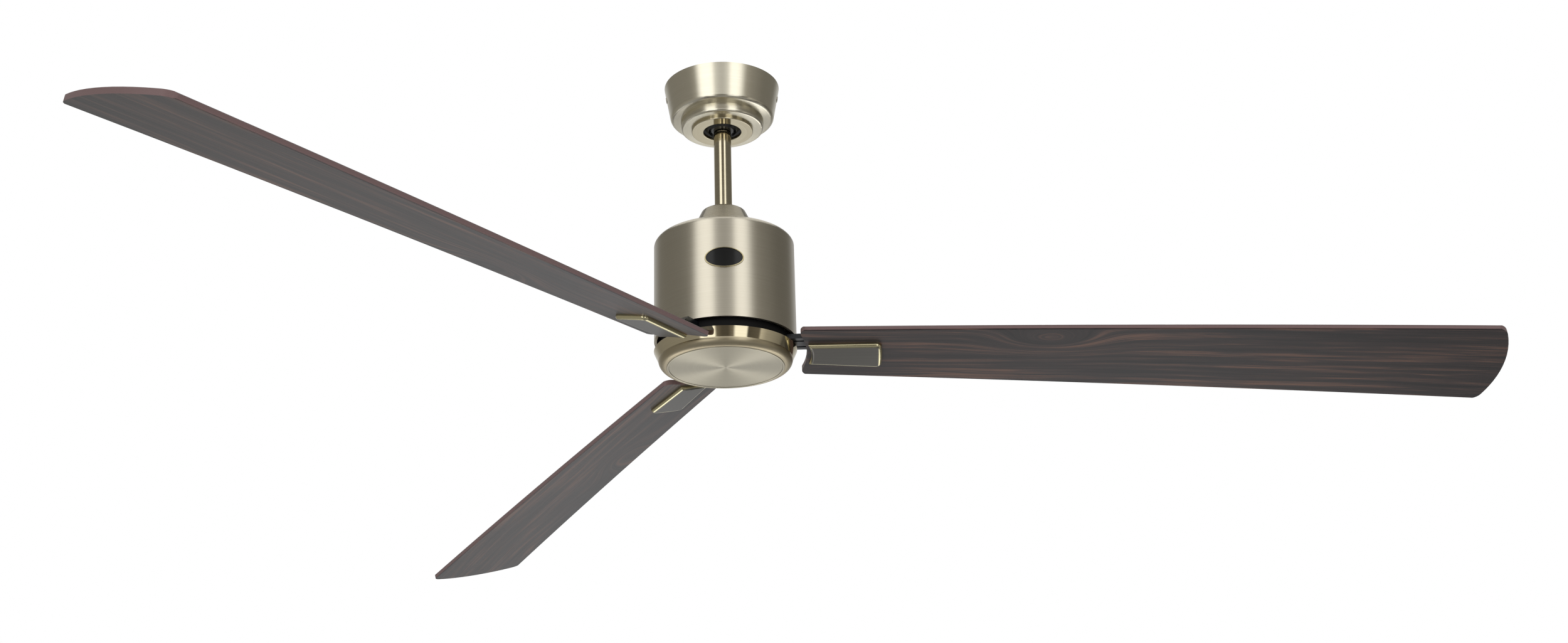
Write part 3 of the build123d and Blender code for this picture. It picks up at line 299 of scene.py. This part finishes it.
laminations, tree = finish("electrical_steel_laminations")
place = node(tree, "TexCoord").outputs["Object"]
sheets = node(tree, "TexWave", {"Vector": place, "Scale": 0.314 / 0.0005}, bands_direction="Z")
tone = node(tree, "ValToRGB", {"Fac": sheets.outputs["Fac"]},
            [(0.1, linear("#3a3b3e")), (0.9, linear("#76787c"))])
skin = node(tree, "Bump", {"Height": sheets.outputs["Fac"], "Strength": 0.3, "Distance": 0.0001})
shader = node(tree, "BsdfPrincipled", {"Base Color": tone.outputs["Color"], "Metallic": 1.0,
                                       "Roughness": 0.5, "Normal": skin.outputs["Normal"]})
node(tree, "OutputMaterial", {"Surface": shader.outputs["BSDF"]})
dress(laminations, "stator_core")

windings, tree = finish("enamelled_copper_wire")
place = node(tree, "TexCoord").outputs["Object"]
turns = node(tree, "TexWave", {"Vector": place, "Scale": 0.314 / 0.0008, "Distortion": 1.5,
                               "Detail": 1.0}, bands_direction="Z")
tone = node(tree, "ValToRGB", {"Fac": turns.outputs["Fac"]},
            [(0.1, linear("#6e2c12")), (0.9, linear("#cf7a48"))])
skin = node(tree, "Bump", {"Height": turns.outputs["Fac"], "Strength": 0.6, "Distance": 0.0004})
shader = node(tree, "BsdfPrincipled", {"Base Color": tone.outputs["Color"], "Metallic": 0.9,
                                       "Roughness": 0.3, "Coat Weight": 0.5,
                                       "Normal": skin.outputs["Normal"]})
node(tree, "OutputMaterial", {"Surface": shader.outputs["BSDF"]})
dress(windings, "stator_windings")


# ---------------------------------------------------------------- motor board
# The motor's glass-epoxy circuit board, under green solder mask. Its weave shows as a faint check
# of 1 mm, coarser than real cloth.

board, tree = finish("green_circuit_board")
place = node(tree, "TexCoord").outputs["Object"]
weave = node(tree, "TexChecker", {"Vector": place, "Scale": 1 / 0.001}).outputs["Fac"]
tone = node(tree, "ValToRGB", {"Fac": weave}, [(0.0, linear("#11502c")), (1.0, linear("#165a34"))])
shader = node(tree, "BsdfPrincipled", {"Base Color": tone.outputs["Color"], "Roughness": 0.3})
node(tree, "OutputMaterial", {"Surface": shader.outputs["BSDF"]})
dress(board, "motor_board")


# ---------------------------------------------------------------- rotor shells, cage and carrier
# Aluminium: the shells are pressure die-cast, the carrier is stamped, and all are left bare, so the
# skin is pale grey and slightly mottled where the metal chilled.

aluminium, tree = finish("bare_cast_aluminium")
place = node(tree, "TexCoord").outputs["Object"]
chill = node(tree, "TexNoise", {"Vector": place, "Scale": 1 / 0.008, "Detail": 4.0}).outputs["Fac"]
grain = node(tree, "TexNoise", {"Vector": place, "Scale": 1 / 0.0006, "Detail": 2.0}).outputs["Fac"]
tone = node(tree, "ValToRGB", {"Fac": chill}, [(0.3, linear("#a2a4a6")), (0.7, linear("#c4c5c6"))])
rough = node(tree, "MapRange", {"Value": grain, "To Min": 0.35, "To Max": 0.55})
skin = node(tree, "Bump", {"Height": grain, "Strength": 0.25, "Distance": 0.0002})
shader = node(tree, "BsdfPrincipled", {"Base Color": tone.outputs["Color"], "Metallic": 1.0,
                                       "Roughness": rough.outputs["Result"],
                                       "Normal": skin.outputs["Normal"]})
node(tree, "OutputMaterial", {"Surface": shader.outputs["BSDF"]})
dress(aluminium, "rotor_upper_shell", "rotor_lower_shell", "rotor_cage", "cover_carrier")


# ---------------------------------------------------------------- bottom bowl
# The spun ring under the blades. Its sloping band is polished to a mirror and lacquered; the
# shoulder below is the same plate, left satin.

band_height = 0.0115
band_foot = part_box("bottom_bowl")[1].z - band_height
polished_brass, tree = finish("antique_brass_polished_band")
brush = lathe_lines(tree, polish_line)
height = node(tree, "SeparateXYZ", {0: node(tree, "TexCoord").outputs["Object"]}).outputs["Z"]
band = node(tree, "MapRange", {"Value": height, "From Min": band_foot - 0.0005,
                               "From Max": band_foot + 0.0003}).outputs["Result"]
satin = node(tree, "ValToRGB", {"Fac": brush},
             [(0.25, linear("#b3a78a")), (0.75, linear("#bfb398"))])
bright = node(tree, "ValToRGB", {"Fac": brush},
              [(0.25, linear("#d0c5a6")), (0.75, linear("#dacfb2"))])
tone = node(tree, "Mix", {0: band, 6: satin.outputs["Color"], 7: bright.outputs["Color"]},
            data_type="RGBA").outputs[2]
satin_rough = node(tree, "MapRange", {"Value": brush, "To Min": 0.32, "To Max": 0.4})
rough = node(tree, "MapRange", {"Value": band, "To Min": satin_rough.outputs["Result"],
                                "To Max": 0.07})
plate_over(tree, tone, rough.outputs["Result"], brush, 0.4)
dress(polished_brass, "bottom_bowl")


# ---------------------------------------------------------------- bottom cap
# A flat disc faced on a lathe: concentric lines 1 mm apart spread each light along the radius,
# which gives the disc its bow-tie shine. The raised bead round its rim is brighter and smoother.

facing_line = 0.001
bead_width = 0.0032
bead_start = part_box("bottom_cap")[1].x - bead_width
spun_brass, tree = finish("antique_brass_faced_disc")
brush = lathe_lines(tree, facing_line)
place = node(tree, "TexCoord").outputs["Object"]
flat = node(tree, "VectorMath", {0: place, 1: (1, 1, 0)}, operation="MULTIPLY").outputs["Vector"]
out = node(tree, "VectorMath", {0: flat}, operation="LENGTH").outputs["Value"]
rim = node(tree, "MapRange", {"Value": out, "From Min": bead_start,
                              "From Max": bead_start + 0.0005})
faced = node(tree, "ValToRGB", {"Fac": brush}, [(0.2, linear("#bfb9a6")), (0.8, linear("#cac4b2"))])
tone = node(tree, "Mix", {0: rim.outputs["Result"], 6: faced.outputs["Color"],
                          7: linear("#cdc6b1")}, data_type="RGBA").outputs[2]
faced_rough = node(tree, "MapRange", {"Value": brush, "To Min": 0.34, "To Max": 0.42})
rough = node(tree, "MapRange", {"Value": rim.outputs["Result"], "To Max": 0.3,
                                "To Min": faced_rough.outputs["Result"]})
plate_over(tree, tone, rough.outputs["Result"], brush, 0.85)
dress(spun_brass, "bottom_cap")


# ---------------------------------------------------------------- blades, clamp plates and screws
# Each blade is 6 mm plywood with a dark walnut veneer, stained and lacquered, and a paler veneer
# round its edge. The plates that clamp the roots from below are antique brass, darkened, with their
# edges lighter, partly rubbed wear and partly painted highlight; the screws are zinc plated.

blade_level = joints["rotor_spin"]["pos_m"][2]
blade_pitch = math.radians(14.6)
first_blade = math.radians(-2.7)
streak_width = 0.007
streak_sway = 5.0          # in streaks
eye_middle = (0.377, -0.036, 0.0)
eye_reach = (0.062, 0.023, 1.0)
eye_push = -5.6            # in streaks, at the middle of the eye
plate_middle = 0.1405      # along the blade
plate_half_length = 0.0425
plate_half_width = 0.0207  # at its middle
plate_flare = 0.0506       # more half width for each metre further out
plate_lead = 0.0061        # ahead of the radial line
edge_light_start, edge_light_full = 0.0042, 0.0018


def in_blade(tree, number):
    """Object coordinates turned to one blade: x out along it, y across it, z up through it."""
    place = node(tree, "TexCoord").outputs["Object"]
    turn = first_blade + (number - 1) * math.tau / 3
    return node(tree, "Mapping", {"Vector": place, "Location": (0, 0, blade_level),
                                  "Rotation": (-blade_pitch, 0, turn)},
                vector_type="TEXTURE").outputs["Vector"]


def off_face(tree, number):
    """0 on the two flat faces of one blade, 1 on its side edges."""
    turn = first_blade + (number - 1) * math.tau / 3
    up = (math.sin(turn) * math.sin(-blade_pitch), -math.cos(turn) * math.sin(-blade_pitch),
          math.cos(blade_pitch))
    normal = node(tree, "TexCoord").outputs["Normal"]
    level = node(tree, "VectorMath", {0: normal, 1: up}, operation="DOT_PRODUCT").outputs["Value"]
    level = node(tree, "Math", {0: level}, operation="ABSOLUTE").outputs["Value"]
    return node(tree, "MapRange", {"Value": level, "From Min": 0.9,
                                   "From Max": 0.5}).outputs["Result"]


for number in (1, 2, 3):
    # walnut: streaks run along the blade and part round one long eye, with finer lines between
    # them; each blade's noise starts elsewhere, so no two figures are alike
    walnut, tree = finish(f"dark_walnut_veneer_{number}")
    place = in_blade(tree, number)
    parts = node(tree, "SeparateXYZ", {0: place})
    stretch = node(tree, "VectorMath", {0: place, 1: (2.2, 9.0, 4.0)}, operation="MULTIPLY")
    sway = node(tree, "TexNoise", {"Vector": stretch.outputs["Vector"], "W": number * 3.1,
                                   "Scale": 1.0, "Detail": 2.5}, noise_dimensions="4D")
    eye_place = node(tree, "Mapping", {"Vector": place, "Location": eye_middle, "Scale": eye_reach},
                     vector_type="TEXTURE")
    eye_flat = node(tree, "VectorMath", {0: eye_place.outputs["Vector"], 1: (1, 1, 0)},
                    operation="MULTIPLY")
    eye_far = node(tree, "VectorMath", {0: eye_flat.outputs["Vector"],
                                        1: eye_flat.outputs["Vector"]},
                   operation="DOT_PRODUCT").outputs["Value"]
    eye_fall = node(tree, "Math", {0: eye_far, 1: -1.0}, operation="MULTIPLY").outputs["Value"]
    eye = node(tree, "Math", {0: eye_fall}, operation="EXPONENT").outputs["Value"]
    across = node(tree, "Math", {0: parts.outputs["Y"], 1: 1 / streak_width}, operation="MULTIPLY")
    swayed = node(tree, "Math", {0: sway.outputs["Fac"], 1: streak_sway,
                                 2: across.outputs["Value"]}, operation="MULTIPLY_ADD")
    line_count = node(tree, "Math", {0: eye, 1: eye_push, 2: swayed.outputs["Value"]},
                      operation="MULTIPLY_ADD").outputs["Value"]
    along = node(tree, "Math", {0: parts.outputs["X"], 1: 4.0},
                 operation="MULTIPLY").outputs["Value"]
    grain = node(tree, "CombineXYZ", {0: along, 1: line_count, 2: number * 5.3}).outputs["Vector"]
    streak = node(tree, "TexNoise", {"Vector": grain, "Scale": 1.0, "Detail": 3.0,
                                     "Roughness": 0.6})
    thread = node(tree, "VectorMath", {0: grain, 1: (5.0, 7.0, 1.0)}, operation="MULTIPLY")
    fibre = node(tree, "TexNoise", {"Vector": thread.outputs["Vector"], "Scale": 1.0,
                                    "Detail": 2.0})
    shade = node(tree, "Math", {0: fibre.outputs["Fac"], 1: 0.5, 2: streak.outputs["Fac"]},
                 operation="MULTIPLY_ADD")
    veneer = node(tree, "ValToRGB", {"Fac": shade.outputs["Value"]},
                  [(0.58, linear("#120e0f")), (0.78, linear("#281e1d")), (0.97, linear("#573d31"))])
    side = off_face(tree, number)
    tone = node(tree, "Mix", {0: side, 6: veneer.outputs["Color"], 7: linear("#665150")},
                data_type="RGBA").outputs[2]
    rough = node(tree, "MapRange", {"Value": fibre.outputs["Fac"], "To Min": 0.36, "To Max": 0.5})
    pores = node(tree, "Bump", {"Height": fibre.outputs["Fac"], "Strength": 0.08,
                                "Distance": 0.0002})
    shader = node(tree, "BsdfPrincipled", {"Base Color": tone, "Roughness": rough.outputs["Result"],
                                           "Specular IOR Level": 0.35, "Sheen Weight": 0.08,
                                           "Normal": pores.outputs["Normal"]})
    node(tree, "OutputMaterial", {"Surface": shader.outputs["BSDF"]})
    dress(walnut, f"blade_{number}")

    # plate: dark antique brass, lighter along each edge as rubbed wear and painted highlight, and
    # brushed along the blade, in lines of 0.6 mm, coarser than real so that they show
    plate, tree = finish(f"antique_brass_plate_{number}")
    place = in_blade(tree, number)
    parts = node(tree, "SeparateXYZ", {0: place})
    from_middle = node(tree, "Math", {0: parts.outputs["X"], 1: plate_middle}, operation="SUBTRACT")
    half_width = node(tree, "Math", {0: from_middle.outputs["Value"], 1: plate_flare,
                                     2: plate_half_width},
                      operation="MULTIPLY_ADD").outputs["Value"]
    from_middle = node(tree, "Math", {0: from_middle.outputs["Value"]}, operation="ABSOLUTE")
    to_end = node(tree, "Math", {0: plate_half_length, 1: from_middle.outputs["Value"]},
                  operation="SUBTRACT")
    from_line = node(tree, "Math", {0: parts.outputs["Y"], 1: plate_lead}, operation="ADD")
    from_line = node(tree, "Math", {0: from_line.outputs["Value"]}, operation="ABSOLUTE")
    to_side = node(tree, "Math", {0: half_width, 1: from_line.outputs["Value"]},
                   operation="SUBTRACT")
    to_edge = node(tree, "Math", {0: to_end.outputs["Value"], 1: to_side.outputs["Value"]},
                   operation="MINIMUM").outputs["Value"]
    # painted highlight: the light band along each plate edge stands partly for rubbed wear, partly
    # for the shine of the rounded edge
    rubbed_and_lit_edge = node(tree, "MapRange", {"Value": to_edge, "From Min": edge_light_start, "From Max": edge_light_full})
    lines = node(tree, "VectorMath", {0: place, 1: (15.0, 1 / 0.0006, 15.0)}, operation="MULTIPLY")
    brush = node(tree, "TexNoise", {"Vector": lines.outputs["Vector"], "Scale": 1.0, "Detail": 2.0})
    wear_and_highlight = node(tree, "Math", {0: brush.outputs["Fac"], 1: 0.25, 2: rubbed_and_lit_edge.outputs["Result"]},
                operation="MULTIPLY_ADD").outputs["Value"]
    tone = node(tree, "ValToRGB", {"Fac": wear_and_highlight},
                [(0.05, linear("#575552")), (0.25, linear("#65635d")), (1.0, linear("#d8cfa8"))])
    rough = node(tree, "MapRange", {"Value": rubbed_and_lit_edge.outputs["Result"], "To Min": 0.3, "To Max": 0.2})
    shader = node(tree, "BsdfPrincipled", {"Base Color": tone.outputs["Color"], "Metallic": 1.0,
                                           "Roughness": rough.outputs["Result"]})
    node(tree, "OutputMaterial", {"Surface": shader.outputs["BSDF"]})
    dress(plate, f"clamp_plate_{number}")

dress(zinc, "blade_screws_1", "blade_screws_2", "blade_screws_3")


# ---------------------------------------------------------------- floor
# Plain pale floor of the studio, three metres under the ceiling. It shows from above only, so that
# a camera under it sees the fan.

floor_level = -3.0
floor_mottle = 0.5
shape = bmesh.new()
bmesh.ops.create_grid(shape, x_segments=1, y_segments=1, size=40.0)
bmesh.ops.translate(shape, verts=shape.verts, vec=(0, 0, floor_level))
mesh = bpy.data.meshes.new("floor")
shape.to_mesh(mesh)
shape.free()
floor = bpy.data.objects.new("floor", mesh)
bpy.context.scene.collection.objects.link(floor)
paint, tree = finish("pale_floor_paint")
place = node(tree, "TexCoord").outputs["Object"]
mottle = node(tree, "TexNoise", {"Vector": place, "Scale": 1 / floor_mottle}).outputs["Fac"]
tone = node(tree, "ValToRGB", {"Fac": mottle}, [(0.3, linear("#f3f3f2")), (0.7, linear("#f7f7f6"))])
matt = node(tree, "BsdfDiffuse", {"Color": tone.outputs["Color"]})
clear = node(tree, "BsdfTransparent")
side = node(tree, "NewGeometry").outputs["Backfacing"]
both = node(tree, "MixShader", {0: side, 1: matt.outputs["BSDF"], 2: clear.outputs["BSDF"]})
node(tree, "OutputMaterial", {"Surface": both.outputs["Shader"]})
floor.data.materials.append(paint)


# ---------------------------------------------------------------- reflection wall
# A round wall of lit and unlit cloth that only shiny surfaces see: two tall soft lights either side
# of the camera, dark cloth between and beside them, and pale cloth behind the fan.

wall_radius = 4.0
wall_height = 7.0
shape = bmesh.new()
bmesh.ops.create_cone(shape, cap_ends=False, segments=96, radius1=wall_radius, radius2=wall_radius,
                      depth=wall_height)
bmesh.ops.translate(shape, verts=shape.verts, vec=(0, 0, wall_height / 2))
bmesh.ops.create_circle(shape, cap_ends=True, segments=96, radius=wall_radius)
bmesh.ops.translate(shape, verts=shape.verts, vec=(0, 0, floor_level + 0.01))
mesh = bpy.data.meshes.new("reflection_wall")
shape.to_mesh(mesh)
shape.free()
wall = bpy.data.objects.new("reflection_wall", mesh)
bpy.context.scene.collection.objects.link(wall)
wall.visible_camera = False
wall.visible_diffuse = False
wall.visible_transmission = False
wall.visible_shadow = False
cloth, tree = finish("lit_and_unlit_cloth")
place = node(tree, "TexCoord").outputs["Object"]
parts = node(tree, "SeparateXYZ", {0: place})
toward_camera = node(tree, "Math", {0: parts.outputs["Y"], 1: -1.0}, operation="MULTIPLY")
bearing = node(tree, "Math", {0: parts.outputs["X"], 1: toward_camera.outputs["Value"]},
               operation="ARCTAN2")
degrees = node(tree, "Math", {0: bearing.outputs["Value"]}, operation="DEGREES")
share = node(tree, "MapRange", {"Value": degrees.outputs["Value"], "From Min": -180.0,
                                "From Max": 180.0})


def at(degree, level, tint=(1.0, 1.0, 1.0)):
    """A stop of the wall: bearing from the camera's side, brightness and tint."""
    return ((degree + 180) / 360, tuple(level * part for part in tint) + (1.0,))


# four rings of cloth, from the floor up, and a dim patch right under the fan
olive = (1.0, 0.96, 0.88)
brown = (1.0, 0.9, 0.78)
ground = node(tree, "ValToRGB", {"Fac": share.outputs["Result"]},
              [at(-180, 0.5), at(-175, 0.6), at(-171, 1.4), at(-152, 1.4), at(-145, 0.2),
               at(145, 0.2), at(152, 1.4), at(171, 1.4), at(175, 0.6), at(180, 0.5)])
low = node(tree, "ValToRGB", {"Fac": share.outputs["Result"]},
           [at(-180, 0.46), at(-174, 0.34), at(-165, 0.22), at(-138, 0.16, olive),
            at(-60, 0.2, olive), at(-45, 0.22, olive), at(-41, 1.0), at(-18, 1.0),
            at(-15, 0.13, brown), at(-6, 0.06, brown), at(5, 0.06, brown), at(13, 0.16, brown),
            at(17, 0.92), at(35, 0.92), at(38, 0.06, brown), at(57, 0.09, brown),
            at(60, 0.42, olive), at(70, 0.26, olive), at(98, 0.14, olive), at(104, 0.06, olive),
            at(138, 0.08, olive), at(165, 0.22), at(174, 0.34), at(180, 0.46)])
level = node(tree, "ValToRGB", {"Fac": share.outputs["Result"]},
             [at(-180, 0.5), at(-150, 0.3), at(-130, 0.15, olive), at(-66, 0.16, olive),
              at(-53, 0.24, olive), at(-44, 1.0), at(-18, 1.0), at(-13, 0.6), at(0, 0.46),
              at(13, 0.6), at(18, 1.0), at(38, 0.95), at(49, 0.28, olive), at(62, 0.17, olive),
              at(90, 0.12, olive), at(130, 0.13, olive), at(150, 0.3), at(180, 0.5)])
high = node(tree, "ValToRGB", {"Fac": share.outputs["Result"]},
            [at(-180, 0.5), at(-150, 0.3), at(-130, 0.13, olive), at(-50, 0.1, olive),
             at(-42, 1.0), at(-20, 1.0), at(-15, 0.1, brown), at(15, 0.1, brown), at(20, 1.0),
             at(36, 1.0), at(44, 0.1, olive), at(130, 0.1, olive), at(150, 0.3), at(180, 0.5)])
flat = node(tree, "VectorMath", {0: place, 1: (1, 1, 0)}, operation="MULTIPLY").outputs["Vector"]
out = node(tree, "VectorMath", {0: flat}, operation="LENGTH").outputs["Value"]
off_middle = node(tree, "MapRange", {"Value": out, "From Min": 1.9, "From Max": 2.5})
off_ground = node(tree, "MapRange", {"Value": parts.outputs["Z"], "From Min": floor_level + 0.02,
                                     "From Max": floor_level + 0.4})
off_low = node(tree, "MapRange", {"Value": parts.outputs["Z"], "From Min": -0.6, "From Max": 0.1})
to_high = node(tree, "MapRange", {"Value": parts.outputs["Z"], "From Min": 1.3, "From Max": 1.7})
panels = node(tree, "Mix", {0: off_middle.outputs["Result"], 6: (0.16, 0.16, 0.16, 1.0),
                            7: ground.outputs["Color"]}, data_type="RGBA")
for step, ring in ((off_ground, low), (off_low, level), (to_high, high)):
    panels = node(tree, "Mix", {0: step.outputs["Result"], 6: panels.outputs[2],
                                7: ring.outputs["Color"]}, data_type="RGBA")
glow = node(tree, "Emission", {"Color": panels.outputs[2], "Strength": 1.6})
node(tree, "OutputMaterial", {"Surface": glow.outputs["Emission"]})
wall.data.materials.append(cloth)


# ---------------------------------------------------------------- soft light
# Two large softboxes below and beside the camera, which leave no reflection of their own, and an
# even white surround.

softbox_size = 1.2
for name, spot, power in (("left_softbox", (-1.6, -2.4, -1.9), 28.0),
                          ("right_softbox", (1.9, -2.2, -1.9), 22.0)):
    lamp = bpy.data.lights.new(name, "AREA")
    lamp.shape = "SQUARE"
    lamp.size = softbox_size
    lamp.energy = power
    held = bpy.data.objects.new(name, lamp)
    aim = Vector((0.0, 0.0, blade_level)) - Vector(spot)
    held.matrix_world = Matrix.Translation(spot) @ aim.to_track_quat("-Z", "Y").to_matrix().to_4x4()
    held.visible_camera = False
    held.visible_glossy = False
    bpy.context.scene.collection.objects.link(held)

world = bpy.data.worlds.new("white_surround")
world.use_nodes = True
world.node_tree.nodes.clear()
tree = world.node_tree
ray = node(tree, "LightPath")
seen = node(tree, "Math", {0: ray.outputs["Is Camera Ray"], 1: ray.outputs["Is Glossy Ray"]},
            operation="MAXIMUM")
seen = node(tree, "Math", {0: seen.outputs["Value"], 1: ray.outputs["Is Transmission Ray"]},
            operation="MAXIMUM")
white = node(tree, "Background", {"Color": (1.0, 1.0, 1.0, 1.0), "Strength": 1.0})
soft = node(tree, "Background", {"Color": (1.0, 1.0, 1.0, 1.0), "Strength": 0.75})
both = node(tree, "MixShader", {0: seen.outputs["Value"], 1: soft.outputs["Background"],
                                2: white.outputs["Background"]})
node(tree, "OutputWorld", {"Surface": both.outputs["Shader"]})
bpy.context.scene.world = world
bpy.context.scene.view_settings.view_transform = "Standard"


# ---------------------------------------------------------------- camera
# A normal lens two metres in front of the rod and below the blades, looking up at the fan and
# rolled a little to the side.

camera_back = 2.1528
camera_drop = 0.8197       # under the blades
camera_turn, camera_rise, camera_roll = -1.861, 21.816, -1.55   # degrees
view = bpy.data.cameras.new("camera")
view.lens = 44.765
view.sensor_width = 36.0
camera = bpy.data.objects.new("camera", view)
camera.matrix_world = (Matrix.Translation((0.0, -camera_back, blade_level - camera_drop))
                       @ Matrix.Rotation(math.radians(camera_turn), 4, "Z")
                       @ Matrix.Rotation(math.radians(90 + camera_rise), 4, "X")
                       @ Matrix.Rotation(math.radians(camera_roll), 4, "Z"))
bpy.context.scene.collection.objects.link(camera)
bpy.context.scene.camera = camera
